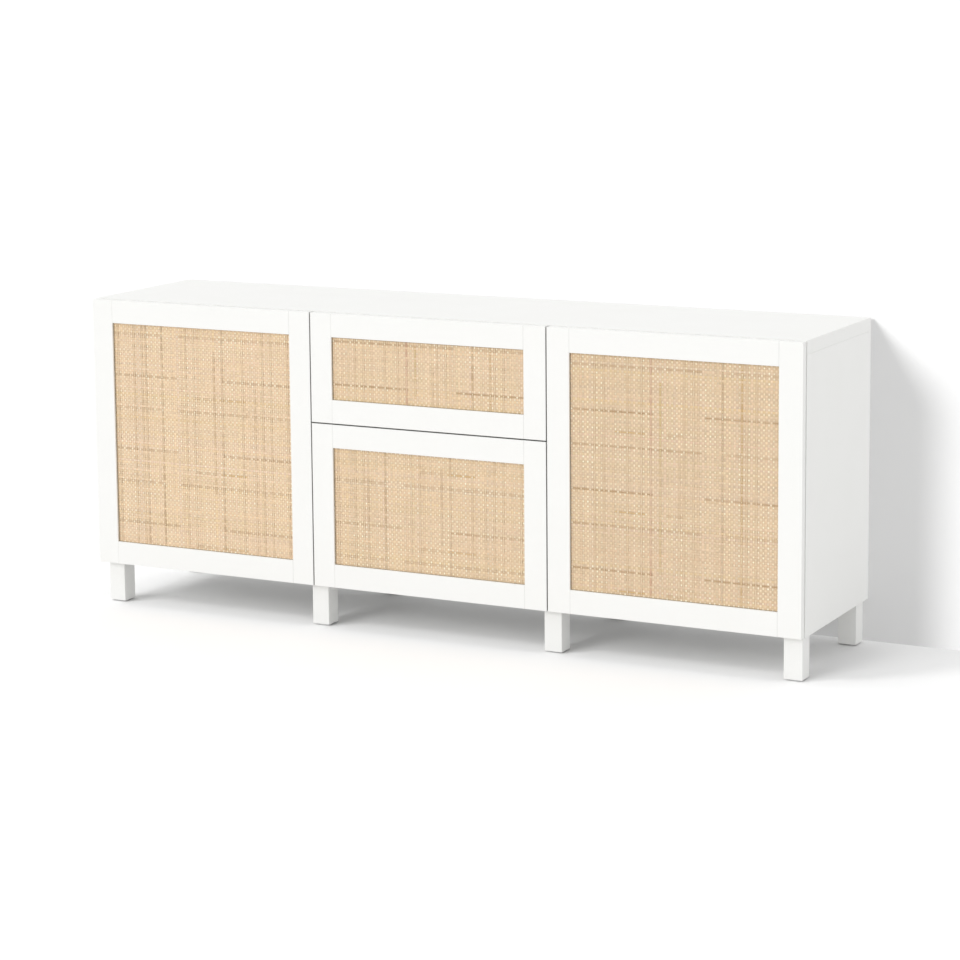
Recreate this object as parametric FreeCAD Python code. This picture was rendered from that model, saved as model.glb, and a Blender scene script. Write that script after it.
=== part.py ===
"""Record cabinet: a long low cabinet with two woven-fronted doors and two woven-fronted drawers.

The cabinet stands on z = 0, centred on x = 0 and y = 0, with its fronts towards -Y. The doors are
hinged on the outer side panels, and the drawers between them run on steel telescopic rails.
Sizes are in millimetres.
"""
import FreeCAD, Part
import math
import os

V = FreeCAD.Vector

# ---- carcass ----
CABINET_W = 1800.0          # over the outer faces of the side panels
DRAWER_BAY = 600.0          # middle of one divider to the middle of the other
BODY_HEIGHT = 640.0         # underside of the bottom board to the face of the top board
CARCASS_DEPTH = 400.0
TOP_T = 30.0
BOTTOM_T = 30.0
SIDE_T = 18.0
DIVIDER_T = 18.0
BACK_T = 4.0
BACK_INSET = 8.0            # rear edge of the carcass to the rear face of a back panel
BACK_GROOVE = 5.0           # depth of the grooves that hold the back panels
BACK_CLEARANCE = 0.25
BOARD_ARRIS = 0.8           # rounding of the boards' outer edges

# ---- shelves ----
RECORD_SPACE = 340.0        # clear height under a shelf, for 315 mm record sleeves
SHELF_T = 18.0
SHELF_SETBACK = 22.0        # front edge of the carcass to the front edge of a shelf
SHELF_CLEARANCE = 1.0       # at the ends and the rear edge
PIN_R = 2.5
PIN_IN_WALL = 8.0
PIN_UNDER_SHELF = 8.0
PIN_CLEARANCE = 0.05
PIN_SETBACK = 37.0          # carcass edges to the rows of shelf holes
HOLE_PITCH = 32.0
HOLES_EACH_WAY = 2          # spare holes above and below the shelf's own row

# ---- fronts ----
FRONT_T = 17.0
FRONT_GAP = 3.0             # between neighbouring fronts
CARCASS_GAP = 3.0           # between the fronts and the carcass
TOP_DRAWER_PITCH = 256.0    # top of the body to the middle of the gap under the top drawer
MEMBER_W = 54.0             # stiles and rails of a front's frame
MEMBER_ARRIS = 0.5
PANEL_RECESS = 6.0          # face of a frame to the face of its woven panel
WEAVE_T = 2.5
BACKING_T = 3.0
PANEL_GROOVE = 8.0          # depth of the groove in the frame members
GROOVE_CLEARANCE = 0.1      # each side of the panel or tongue in its groove
GROOVE_END_CLEARANCE = 0.5  # panel or tongue to the bottom of the groove

# ---- legs ----
LEG_HEIGHT = 100.0          # floor to the underside of the bottom board, glide included
LEG_W = 43.0
LEG_INSET = 9.0             # carcass faces to the outer faces of the legs
LEG_ARRIS = 1.5
GLIDE_T = 3.0
GLIDE_R = 17.0
GLIDE_NAIL_R = 1.5
GLIDE_NAIL_L = 14.0
LEG_BOLT_R = 4.0
LEG_BOLT_IN_LEG = 45.0
LEG_BOLT_IN_BOARD = 20.0
BOLT_CLEARANCE = 0.1        # radial, and at the end of a blind hole

# ---- concealed hinges ----
HINGE_FROM_END = 100.0      # end of a door to the middle of a hinge
CUP_FROM_EDGE = 22.5        # hinge edge of a door to the middle of a cup
CUP_R = 17.4
CUP_DEPTH = 11.0
CUP_WALL = 1.0
CUP_CLEARANCE = 0.1
FLANGE_T = 1.0
FLANGE_W = 40.0
FLANGE_H = 58.0
FLANGE_CORNER_R = 5.0
ARM_PIN_OUT = 22.0          # face of the side panel to the arm's pin
ARM_PIN_BACK = 4.0          # front edge of the carcass to the arm's pin
ARM_PIN_R = 1.5
ARM_EYE_R = 4.0
EAR_T = 2.0
LINK_LENGTH = 31.5          # arm's pin to the tip inside the cup
LINK_ANGLE = 200.4          # degrees from +X, door shut, left door
LINK_T = 3.0
LINK_W = 10.0
LINK_EYE_R = 3.5
LINK_CLEARANCE = 0.3        # each side, between the arm's ears
LINK_BORE_CLEARANCE = 0.05
PLATE_T = 3.0
PLATE_SETBACK = 20.0        # front edge of the carcass to the front edge of a mounting plate
PLATE_L = 40.0
PLATE_H = 44.0
PLATE_CORNER_R = 3.0
PLATE_SCREW_R = 2.5
PLATE_SCREW_L = 11.0
PLATE_SCREW_HEAD_R = 4.0
PLATE_SCREW_HEAD_T = 2.0
PLATE_SCREW_FROM_MID = 16.0

# ---- drawers ----
RAIL_SPACE = 12.7           # bay wall to the side of a drawer box
RAIL_H = 45.0
RAIL_L = 350.0
RAIL_SHEET = 1.2
RAIL_CLEARANCE = 0.3        # between nested members
RAIL_SETBACK = 2.0          # front edge of the carcass to the front end of the rails
RAIL_FROM_BOX_BOTTOM = 45.0
BOX_SIDE_T = 12.0
BOX_BOTTOM_T = 6.0
BOX_GROOVE = 6.0            # depth of the groove for the box bottom
BOX_BOTTOM_UP = 12.0        # lower edge of the box to the underside of its bottom
BOX_DEPTH = 370.0
BOX_CLEARANCE = 0.1
TOP_BOX_H = 150.0
BOTTOM_BOX_H = 250.0
BOX_ABOVE_SPLIT = 20.0      # gap under the top drawer's front to its box
BOX_ABOVE_FLOOR = 16.0      # bottom board to the bottom drawer's box

# ---- push latches ----
LATCH_L = 80.0
LATCH_LONG = 14.0
LATCH_SHORT = 10.0
LATCH_SETBACK = 2.0         # front edge of the carcass to the front of a latch
LATCH_FROM_DIVIDER = 22.0   # face of a divider to a door's latch
LATCH_ABOVE_RAIL = 12.0
PLUNGER_R = 3.0
PLUNGER_L = 62.0
PLUNGER_CLEARANCE = 0.05
PLUNGER_TRAVEL_ROOM = 6.0   # bore beyond the plunger's rear end
PLUNGER_TO_FRONT = 0.3      # tip to the back of its door or drawer front

# ---- wall brackets ----
BRACKET_T = 2.0
BRACKET_W = 30.0
BRACKET_LEG = 40.0
BRACKET_FROM_SIDE = 132.0   # inner face of a side panel to the middle of its bracket
BRACKET_HOLE_R = 3.0
BRACKET_HOLE_DOWN = 25.0    # underside of the top board to the hole

NEAR = 1.0                  # an edge this close to a face counts as one of its edges

# ---- planes and lines worked out from the sizes ----
X_OUT = CABINET_W / 2
X_SIDE = X_OUT - SIDE_T
X_DIVIDER = DRAWER_BAY / 2
X_BAY_IN = X_DIVIDER + DIVIDER_T / 2       # divider face in a door bay
X_DRAWER_BAY = X_DIVIDER - DIVIDER_T / 2   # divider face in the drawer bay
Y_BACK = (CARCASS_DEPTH + CARCASS_GAP + FRONT_T) / 2
Y_CARCASS = Y_BACK - CARCASS_DEPTH
Y_FRONT_BACK = Y_CARCASS - CARCASS_GAP
Y_FACE = Y_FRONT_BACK - FRONT_T
Y_BACK_PANEL = Y_BACK - BACK_INSET - BACK_T
Z_UNDER = LEG_HEIGHT
Z_TOP = LEG_HEIGHT + BODY_HEIGHT
Z_CEILING = Z_TOP - TOP_T
Z_FLOOR = Z_UNDER + BOTTOM_T
Z_SPLIT = Z_TOP - TOP_DRAWER_PITCH
Z_SHELF = Z_FLOOR + RECORD_SPACE
HALF_GAP = FRONT_GAP / 2
HINGE_ZS = (Z_UNDER + HALF_GAP + HINGE_FROM_END, Z_TOP - HALF_GAP - HINGE_FROM_END)


def block(x0, x1, y0, y1, z0, z1):
    """A box between two corners."""
    return Part.makeBox(x1 - x0, y1 - y0, z1 - z0, V(x0, y0, z0))


def rod(radius, start, direction, length):
    """A cylinder from a start point along a direction."""
    return Part.makeCylinder(radius, length, V(*start), V(*direction))


def outline(points, z0, height):
    """A straight-sided plate of the given outline, standing on z0."""
    corners = [V(x, y, z0) for x, y in points]
    wire = Part.makePolygon(corners + corners[:1])
    return Part.Face(wire).extrude(V(0, 0, height))


def eased(shape, radius, chosen):
    """The shape with each edge rounded whose middle point passes the test."""
    edges = [edge for edge in shape.Edges if chosen(edge.CenterOfMass)]
    return shape.makeFillet(radius, edges)


def mirrored(shape):
    """The same piece on the other side of x = 0."""
    return shape.mirror(V(0, 0, 0), V(1, 0, 0))


def both_sides(shape):
    """A piece and its mirror image, as two solids."""
    return [shape, mirrored(shape)]


def save(name, pieces):
    """Write one piece, or a group of separate pieces, as one STEP file."""
    pieces = pieces if isinstance(pieces, list) else [pieces]
    shape = pieces[0] if len(pieces) == 1 else Part.makeCompound(pieces)
    shape.exportStep("parts/" + name + ".step")


# ---- carcass boards ----

def back_panel(x0, x1, groove):
    """Board across the back of a bay, reaching into its neighbours by the groove depth."""
    return block(x0 - groove, x1 + groove, Y_BACK_PANEL, Y_BACK_PANEL + BACK_T,
                 Z_FLOOR - groove, Z_CEILING + groove)


def back_groove(x0, x1):
    """The space that a back panel needs in the boards round it."""
    y0 = Y_BACK_PANEL - BACK_CLEARANCE
    y1 = Y_BACK_PANEL + BACK_T + BACK_CLEARANCE
    return block(x0 - BACK_GROOVE, x1 + BACK_GROOVE, y0, y1, Z_FLOOR - BACK_GROOVE, Z_CEILING + BACK_GROOVE)


BAYS = {"left": (-X_SIDE, -X_BAY_IN), "centre": (-X_DRAWER_BAY, X_DRAWER_BAY), "right": (X_BAY_IN, X_SIDE)}
BACK_GROOVES = Part.makeCompound([back_groove(*bay) for bay in BAYS.values()])


def leg_middles():
    """Middle of each leg in plan: a row of four at the front and a row of four at the back."""
    x_end = X_OUT - LEG_INSET - LEG_W / 2
    y_front = Y_CARCASS + LEG_INSET + LEG_W / 2
    y_rear = Y_BACK - LEG_INSET - LEG_W / 2
    return [(x, y) for y in (y_front, y_rear) for x in (-x_end, -X_DIVIDER, X_DIVIDER, x_end)]


def shelf_pin_places():
    """Start point and inward direction of each shelf pin, at the wall's face."""
    z = Z_SHELF - PIN_R - PIN_CLEARANCE
    y_rows = (Y_CARCASS + PIN_SETBACK, Y_BACK_PANEL - PIN_SETBACK)
    walls = ((-X_SIDE, 1), (-X_BAY_IN, -1), (X_BAY_IN, 1), (X_SIDE, -1))
    return [(x, y, z, inward) for x, inward in walls for y in y_rows]


def shelf_holes():
    """The rows of blind holes for shelf pins, as one cutting shape."""
    holes = []
    depth = PIN_IN_WALL + PIN_CLEARANCE
    for x, y, z, inward in shelf_pin_places():
        for step in range(-HOLES_EACH_WAY, HOLES_EACH_WAY + 1):
            start = (x - inward * depth, y, z + step * HOLE_PITCH)
            holes.append(rod(PIN_R + PIN_CLEARANCE, start, (inward, 0, 0), depth + PIN_CLEARANCE))
    return Part.makeCompound(holes)


def plate_screw_holes():
    """Pilot holes in the left side panel for the hinge plates' screws."""
    y = Y_CARCASS + PLATE_SETBACK + PLATE_L / 2
    depth = PLATE_SCREW_L - PLATE_T + BOLT_CLEARANCE
    holes = []
    for z in HINGE_ZS:
        for offset in (-PLATE_SCREW_FROM_MID, PLATE_SCREW_FROM_MID):
            start = (-X_SIDE - depth, y, z + offset)
            holes.append(rod(PLATE_SCREW_R + BOLT_CLEARANCE, start, (1, 0, 0), depth + BOLT_CLEARANCE))
    return Part.makeCompound(holes)


def make_carcass():
    """Top, bottom, sides, dividers and backs."""
    top = block(-X_OUT, X_OUT, Y_CARCASS, Y_BACK, Z_CEILING, Z_TOP)
    top = eased(top, BOARD_ARRIS, lambda p: abs(p.x) > X_OUT - NEAR or p.z > Z_TOP - NEAR)
    save("top_board", top.cut(BACK_GROOVES))

    bolt_depth = LEG_BOLT_IN_BOARD + BOLT_CLEARANCE
    bolt_holes = [rod(LEG_BOLT_R + BOLT_CLEARANCE, (x, y, Z_UNDER), (0, 0, 1), bolt_depth)
                  for x, y in leg_middles()]
    bottom = block(-X_SIDE, X_SIDE, Y_CARCASS, Y_BACK, Z_UNDER, Z_FLOOR)
    save("bottom_board", bottom.cut(BACK_GROOVES).cut(Part.makeCompound(bolt_holes)))

    side = block(-X_OUT, -X_SIDE, Y_CARCASS, Y_BACK, Z_UNDER, Z_CEILING)
    side = eased(side, BOARD_ARRIS, lambda p: p.x < -X_OUT + NEAR and p.z < Z_CEILING - NEAR)
    side = side.cut(BACK_GROOVES).cut(shelf_holes()).cut(plate_screw_holes())
    divider = block(-X_BAY_IN, -X_DRAWER_BAY, Y_CARCASS, Y_BACK, Z_FLOOR, Z_CEILING)
    divider = divider.cut(BACK_GROOVES).cut(shelf_holes())
    for hand, place in (("left", lambda shape: shape), ("right", mirrored)):
        save(hand + "_side_panel", place(side))
        save(hand + "_divider", place(divider))

    for name, bay in BAYS.items():
        panel = back_panel(bay[0], bay[1], BACK_GROOVE - BACK_CLEARANCE)
        for x in (-bracket_x(), bracket_x()):
            panel = panel.cut(bracket_hole(x))
        save(name + "_back_panel", panel)


# ---- shelves ----

def make_shelves():
    """An adjustable shelf in each door bay, on four pins."""
    shelf = block(-X_SIDE + SHELF_CLEARANCE, -X_BAY_IN - SHELF_CLEARANCE, Y_CARCASS + SHELF_SETBACK,
                  Y_BACK_PANEL - SHELF_CLEARANCE, Z_SHELF, Z_SHELF + SHELF_T)
    shelf = eased(shelf, BOARD_ARRIS, lambda p: p.y < Y_CARCASS + SHELF_SETBACK + NEAR)
    save("left_shelf", shelf)
    save("right_shelf", mirrored(shelf))
    length = PIN_IN_WALL + PIN_UNDER_SHELF
    pins = [rod(PIN_R, (x - inward * PIN_IN_WALL, y, z), (inward, 0, 0), length)
            for x, y, z, inward in shelf_pin_places()]
    save("shelf_pins", pins)


# ---- legs ----

def leg(x, y):
    """Square wooden leg with a blind bolt hole in its top and a nail hole in its foot."""
    half = LEG_W / 2
    post = block(x - half, x + half, y - half, y + half, GLIDE_T, LEG_HEIGHT)
    middle = (GLIDE_T + LEG_HEIGHT) / 2
    post = eased(post, LEG_ARRIS, lambda p: abs(p.z - middle) < NEAR or p.z < GLIDE_T + NEAR)
    bolt_depth = LEG_BOLT_IN_LEG + BOLT_CLEARANCE
    bolt_hole = rod(LEG_BOLT_R + BOLT_CLEARANCE, (x, y, LEG_HEIGHT), (0, 0, -1), bolt_depth)
    nail_hole = rod(GLIDE_NAIL_R + BOLT_CLEARANCE, (x, y, GLIDE_T), (0, 0, 1), GLIDE_NAIL_L + BOLT_CLEARANCE)
    return post.cut(bolt_hole).cut(nail_hole)


def glide(x, y):
    """Round nail-on glide under a leg."""
    disc = rod(GLIDE_R, (x, y, 0), (0, 0, 1), GLIDE_T)
    return disc.fuse(rod(GLIDE_NAIL_R, (x, y, GLIDE_T), (0, 0, 1), GLIDE_NAIL_L))


def leg_bolt(x, y):
    """Threaded dowel that joins a leg to the bottom board."""
    return rod(LEG_BOLT_R, (x, y, Z_UNDER - LEG_BOLT_IN_LEG), (0, 0, 1), LEG_BOLT_IN_LEG + LEG_BOLT_IN_BOARD)


def make_legs():
    """Eight legs with their glides and bolts."""
    places = leg_middles()
    save("legs", [leg(x, y) for x, y in places])
    save("leg_glides", [glide(x, y) for x, y in places])
    save("leg_bolts", [leg_bolt(x, y) for x, y in places])


# ---- woven fronts ----

Y_WEAVE = Y_FACE + PANEL_RECESS
Y_BACKING = Y_WEAVE + WEAVE_T
Y_GROOVE_0 = Y_WEAVE - GROOVE_CLEARANCE
Y_GROOVE_1 = Y_BACKING + BACKING_T + GROOVE_CLEARANCE


def on_face(point):
    """True for an edge on the face of a front."""
    return point.y < Y_FACE + MEMBER_ARRIS


def stile(x0, z0, z1, groove_x0):
    """Upright frame member, grooved along its inner edge from groove_x0."""
    member = eased(block(x0, x0 + MEMBER_W, Y_FACE, Y_FRONT_BACK, z0, z1), MEMBER_ARRIS, on_face)
    return member.cut(block(groove_x0, groove_x0 + PANEL_GROOVE, Y_GROOVE_0, Y_GROOVE_1, z0, z1))


def rail(x0, x1, z0, groove_z0):
    """Level frame member between the stiles, with a tongue in each stile's groove."""
    member = eased(block(x0, x1, Y_FACE, Y_FRONT_BACK, z0, z0 + MEMBER_W), MEMBER_ARRIS, on_face)
    reach = PANEL_GROOVE - GROOVE_END_CLEARANCE
    tongue = block(x0 - reach, x1 + reach, Y_GROOVE_0 + GROOVE_CLEARANCE, Y_GROOVE_1 - GROOVE_CLEARANCE,
                   z0, z0 + MEMBER_W)
    groove = block(x0 - reach, x1 + reach, Y_GROOVE_0, Y_GROOVE_1, groove_z0, groove_z0 + PANEL_GROOVE)
    return member.fuse(tongue).cut(groove)


def woven_front(x0, x1, z0, z1):
    """The six pieces of a front: two stiles, two rails, the woven panel and its backing board."""
    in_x0 = x0 + MEMBER_W
    in_x1 = x1 - MEMBER_W
    in_z0 = z0 + MEMBER_W
    in_z1 = z1 - MEMBER_W
    reach = PANEL_GROOVE - GROOVE_END_CLEARANCE
    sheet = (in_x0 - reach, in_x1 + reach, in_z0 - reach, in_z1 + reach)
    return {
        "left_stile": stile(x0, z0, z1, in_x0 - PANEL_GROOVE),
        "right_stile": stile(in_x1, z0, z1, in_x1),
        "top_rail": rail(in_x0, in_x1, in_z1, in_z1),
        "bottom_rail": rail(in_x0, in_x1, z0, in_z0 - PANEL_GROOVE),
        "woven_panel": block(sheet[0], sheet[1], Y_WEAVE, Y_BACKING, sheet[2], sheet[3]),
        "backing": block(sheet[0], sheet[1], Y_BACKING, Y_BACKING + BACKING_T, sheet[2], sheet[3]),
    }


# ---- hinges ----

DOOR_EDGE = -X_OUT + HALF_GAP
CUP_X = DOOR_EDGE + CUP_FROM_EDGE
ARM_PIN = (-X_SIDE + ARM_PIN_OUT, Y_CARCASS + ARM_PIN_BACK)
FORK_W = LINK_W + 2 * (LINK_CLEARANCE + EAR_T)


def hinge_cup(z):
    """Cup let into the back of the left door's hinge stile, with its flange."""
    y_floor = Y_FRONT_BACK - CUP_DEPTH
    cup = rod(CUP_R, (CUP_X, y_floor, z), (0, 1, 0), CUP_DEPTH)
    flange = block(CUP_X - FLANGE_W / 2, CUP_X + FLANGE_W / 2, Y_FRONT_BACK, Y_FRONT_BACK + FLANGE_T,
                   z - FLANGE_H / 2, z + FLANGE_H / 2)
    flange = eased(flange, FLANGE_CORNER_R, lambda p: abs(p.x - CUP_X) > FLANGE_W / 2 - NEAR
                   and abs(p.z - z) > FLANGE_H / 2 - NEAR)
    hollow = rod(CUP_R - CUP_WALL, (CUP_X, y_floor + CUP_WALL, z), (0, 1, 0), CUP_DEPTH + FLANGE_T)
    return cup.fuse(flange).cut(hollow)


def cup_hole(z):
    """The space for a cup in the hinge stile."""
    y_floor = Y_FRONT_BACK - CUP_DEPTH - CUP_CLEARANCE
    return rod(CUP_R + CUP_CLEARANCE, (CUP_X, y_floor, z), (0, 1, 0), CUP_DEPTH + 2 * CUP_CLEARANCE)


def hinge_arm(z):
    """Forked arm on a mounting plate of the left side panel, with its pin."""
    pin_x, pin_y = ARM_PIN
    back_x = -X_SIDE + PLATE_T
    rear_y = Y_CARCASS + PLATE_SETBACK + PLATE_L
    profile = [
        (pin_x - ARM_EYE_R, pin_y),
        (pin_x - ARM_EYE_R, pin_y + 2 * ARM_EYE_R),
        (back_x, Y_CARCASS + PLATE_SETBACK + ARM_EYE_R),
        (back_x, rear_y),
        (back_x + 2 * ARM_EYE_R, rear_y),
        (back_x + 3 * ARM_EYE_R, Y_CARCASS + PLATE_SETBACK + 3 * ARM_EYE_R),
        (pin_x + ARM_EYE_R, pin_y + 2 * ARM_EYE_R),
        (pin_x + ARM_EYE_R, pin_y),
    ]
    low = z - FORK_W / 2
    arm = outline(profile, low, FORK_W).fuse(rod(ARM_EYE_R, (pin_x, pin_y, low), (0, 0, 1), FORK_W))
    slot_half = LINK_W / 2 + LINK_CLEARANCE
    slot_end = pin_y + LINK_EYE_R + LINK_CLEARANCE
    slot = block(pin_x - 2 * ARM_EYE_R, pin_x + 2 * ARM_EYE_R, pin_y - 2 * ARM_EYE_R, slot_end,
                 z - slot_half, z + slot_half)
    return arm.cut(slot).fuse(rod(ARM_PIN_R, (pin_x, pin_y, low), (0, 0, 1), FORK_W))


def hinge_link(z):
    """Link from the arm's pin into the cup, door shut."""
    low = z - LINK_W / 2
    start = V(ARM_PIN[0], ARM_PIN[1], low)
    angle = math.radians(LINK_ANGLE)
    along = V(math.cos(angle), math.sin(angle), 0)
    across = V(-along.y, along.x, 0) * (LINK_T / 2)
    tip = start + along * LINK_LENGTH
    strap = outline([(p.x, p.y) for p in (start + across, start - across, tip - across, tip + across)],
                    low, LINK_W)
    link = strap.fuse(rod(LINK_EYE_R, start, (0, 0, 1), LINK_W)).fuse(rod(LINK_T / 2, tip, (0, 0, 1), LINK_W))
    return link.cut(rod(ARM_PIN_R + LINK_BORE_CLEARANCE, start, (0, 0, 1), LINK_W))


def hinge_plate(z):
    """Mounting plate of one hinge and its two screws, as separate solids."""
    y0 = Y_CARCASS + PLATE_SETBACK
    plate = block(-X_SIDE, -X_SIDE + PLATE_T, y0, y0 + PLATE_L, z - PLATE_H / 2, z + PLATE_H / 2)
    plate = eased(plate, PLATE_CORNER_R, lambda p: abs(p.z - z) > PLATE_H / 2 - NEAR
                  and abs(p.y - y0 - PLATE_L / 2) > PLATE_L / 2 - NEAR)
    screws = []
    for offset in (-PLATE_SCREW_FROM_MID, PLATE_SCREW_FROM_MID):
        head_start = (-X_SIDE + PLATE_T, y0 + PLATE_L / 2, z + offset)
        plate = plate.cut(rod(PLATE_SCREW_R + BOLT_CLEARANCE, head_start, (-1, 0, 0), PLATE_T))
        head = rod(PLATE_SCREW_HEAD_R, head_start, (1, 0, 0), PLATE_SCREW_HEAD_T)
        screws.append(head.fuse(rod(PLATE_SCREW_R, head_start, (-1, 0, 0), PLATE_SCREW_L)))
    return [plate] + screws


def make_hinges():
    """Plates and arms on both side panels, and the links of each door."""
    plates = [piece for z in HINGE_ZS for piece in hinge_plate(z)]
    arms = [hinge_arm(z) for z in HINGE_ZS]
    links = [hinge_link(z) for z in HINGE_ZS]
    save("hinge_plates", plates + [mirrored(piece) for piece in plates])
    save("hinge_arms", arms + [mirrored(arm) for arm in arms])
    save("left_hinge_links", links)
    save("right_hinge_links", [mirrored(link) for link in links])


# ---- doors ----

def make_doors():
    """The left door and its mirror image on the right."""
    pieces = woven_front(DOOR_EDGE, -X_DIVIDER - HALF_GAP, Z_UNDER + HALF_GAP, Z_TOP - HALF_GAP)
    door = {
        "hinge_stile": pieces["left_stile"].cut(Part.makeCompound([cup_hole(z) for z in HINGE_ZS])),
        "free_stile": pieces["right_stile"],
        "top_rail": pieces["top_rail"],
        "bottom_rail": pieces["bottom_rail"],
        "woven_panel": pieces["woven_panel"],
        "backing": pieces["backing"],
        "hinge_cups": [hinge_cup(z) for z in HINGE_ZS],
    }
    for name, piece in door.items():
        group = piece if isinstance(piece, list) else [piece]
        save("left_door_" + name, group)
        save("right_door_" + name, [mirrored(solid) for solid in group])


# ---- drawer rails ----

def channel(web_x0, flange_x1, half_height, z_mid):
    """Left-hand rail member: a C of sheet steel, web at web_x0 and flanges running to flange_x1."""
    y0 = Y_CARCASS + RAIL_SETBACK
    y1 = y0 + RAIL_L
    sheet = math.copysign(RAIL_SHEET, flange_x1 - web_x0)
    low, high = sorted((web_x0, flange_x1))
    inner_low, inner_high = sorted((web_x0 + sheet, flange_x1))
    body = block(low, high, y0, y1, z_mid - half_height, z_mid + half_height)
    inner = half_height - RAIL_SHEET
    return body.cut(block(inner_low, inner_high, y0, y1, z_mid - inner, z_mid + inner))


def rail_set(z_mid):
    """The three nested members at the left of a drawer: cabinet, middle and drawer member."""
    wall = -X_DRAWER_BAY
    box_side = wall + RAIL_SPACE
    step = RAIL_SHEET + RAIL_CLEARANCE
    half = RAIL_H / 2
    cabinet = channel(wall, box_side - 2 * RAIL_CLEARANCE, half, z_mid)
    middle = channel(wall + step, box_side - 3 * RAIL_CLEARANCE, half - step, z_mid)
    drawer = channel(box_side, wall + 2 * step, half - 2 * step, z_mid)
    return cabinet, middle, drawer


# ---- drawers ----

def drawer_box(z0, height):
    """Sides, back, inner front and bottom of a drawer box that stands on z0."""
    x_out = X_DRAWER_BAY - RAIL_SPACE
    x_in = x_out - BOX_SIDE_T
    y0 = Y_FRONT_BACK
    y1 = y0 + BOX_DEPTH
    z1 = z0 + height
    z_bottom = z0 + BOX_BOTTOM_UP
    grow = BOX_CLEARANCE
    groove = block(-x_in - BOX_GROOVE, x_in + BOX_GROOVE, y0 + BOX_SIDE_T - BOX_GROOVE,
                   y1 - BOX_SIDE_T + BOX_GROOVE, z_bottom - grow, z_bottom + BOX_BOTTOM_T + grow)
    reach = BOX_GROOVE - grow
    bottom = block(-x_in - reach, x_in + reach, y0 + BOX_SIDE_T - reach, y1 - BOX_SIDE_T + reach,
                   z_bottom, z_bottom + BOX_BOTTOM_T)
    side = block(-x_out, -x_in, y0, y1, z0, z1).cut(groove)
    return {
        "box_sides": both_sides(side),
        "box_back": block(-x_in, x_in, y1 - BOX_SIDE_T, y1, z0, z1).cut(groove),
        "inner_front": block(-x_in, x_in, y0, y0 + BOX_SIDE_T, z0, z1).cut(groove),
        "box_bottom": bottom,
    }


def latch(x_mid, z_mid, width, height):
    """Push latch behind a front: its housing, bored from the front, and its plunger."""
    y0 = Y_CARCASS + LATCH_SETBACK
    tip = Y_FRONT_BACK + PLUNGER_TO_FRONT
    x0 = x_mid - width / 2
    z0 = z_mid - height / 2
    housing = block(x0, x0 + width, y0, y0 + LATCH_L, z0, z0 + height)
    bore_end = tip + PLUNGER_L + PLUNGER_TRAVEL_ROOM
    bore = rod(PLUNGER_R + PLUNGER_CLEARANCE, (x_mid, y0, z_mid), (0, 1, 0), bore_end - y0)
    return housing.cut(bore), rod(PLUNGER_R, (x_mid, tip, z_mid), (0, 1, 0), PLUNGER_L)


def make_drawers():
    """Both drawers, their rails and all push latches."""
    drawers = {
        "top": (Z_SPLIT + HALF_GAP, Z_TOP - HALF_GAP, Z_SPLIT + BOX_ABOVE_SPLIT, TOP_BOX_H),
        "bottom": (Z_UNDER + HALF_GAP, Z_SPLIT - HALF_GAP, Z_FLOOR + BOX_ABOVE_FLOOR, BOTTOM_BOX_H),
    }
    x_face = X_DIVIDER - HALF_GAP
    cabinet_rails = []
    housings = []
    for name, (face_z0, face_z1, box_z0, box_h) in drawers.items():
        front = woven_front(-x_face, x_face, face_z0, face_z1)
        save(name + "_drawer_stiles", [front["left_stile"], front["right_stile"]])
        save(name + "_drawer_rails", [front["top_rail"], front["bottom_rail"]])
        save(name + "_drawer_woven_panel", front["woven_panel"])
        save(name + "_drawer_backing", front["backing"])
        for piece, shape in drawer_box(box_z0, box_h).items():
            save(name + "_drawer_" + piece, shape)

        z_rail = box_z0 + RAIL_FROM_BOX_BOTTOM
        cabinet, middle, drawer = rail_set(z_rail)
        cabinet_rails += both_sides(cabinet)
        save(name + "_middle_slides", both_sides(middle))
        save(name + "_drawer_slides", both_sides(drawer))

        z_latch = z_rail + RAIL_H / 2 + LATCH_ABOVE_RAIL + LATCH_LONG / 2
        housing, plunger = latch(-X_DRAWER_BAY + LATCH_SHORT / 2, z_latch, LATCH_SHORT, LATCH_LONG)
        housings.append(housing)
        save(name + "_drawer_plunger", plunger)

    x_latch = -X_BAY_IN - LATCH_FROM_DIVIDER - LATCH_LONG / 2
    housing, plunger = latch(x_latch, Z_CEILING - LATCH_SHORT / 2, LATCH_LONG, LATCH_SHORT)
    save("left_door_plunger", plunger)
    save("right_door_plunger", mirrored(plunger))
    save("latch_housings", housings + both_sides(housing))
    save("cabinet_slides", cabinet_rails)


# ---- wall brackets ----

def bracket_x():
    """Middle of the right-hand wall bracket."""
    return X_SIDE - BRACKET_FROM_SIDE


def bracket_hole(x):
    """Wall screw hole through a bracket and the back panel behind it."""
    start = (x, Y_BACK_PANEL - 2 * BRACKET_T, Z_CEILING - BRACKET_HOLE_DOWN)
    return rod(BRACKET_HOLE_R, start, (0, 1, 0), 2 * BRACKET_T + 2 * BACK_T)


def make_wall_brackets():
    """Angle brackets under the top board, for screws into the wall."""
    x = -bracket_x()
    x0 = x - BRACKET_W / 2
    x1 = x + BRACKET_W / 2
    upright = block(x0, x1, Y_BACK_PANEL - BRACKET_T, Y_BACK_PANEL, Z_CEILING - BRACKET_LEG, Z_CEILING)
    level = block(x0, x1, Y_BACK_PANEL - BRACKET_LEG, Y_BACK_PANEL, Z_CEILING - BRACKET_T, Z_CEILING)
    save("wall_brackets", both_sides(upright.fuse(level).cut(bracket_hole(x))))


os.makedirs("parts", exist_ok=True)
make_carcass()
make_shelves()
make_legs()
make_hinges()
make_doors()
make_drawers()
make_wall_brackets()
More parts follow.
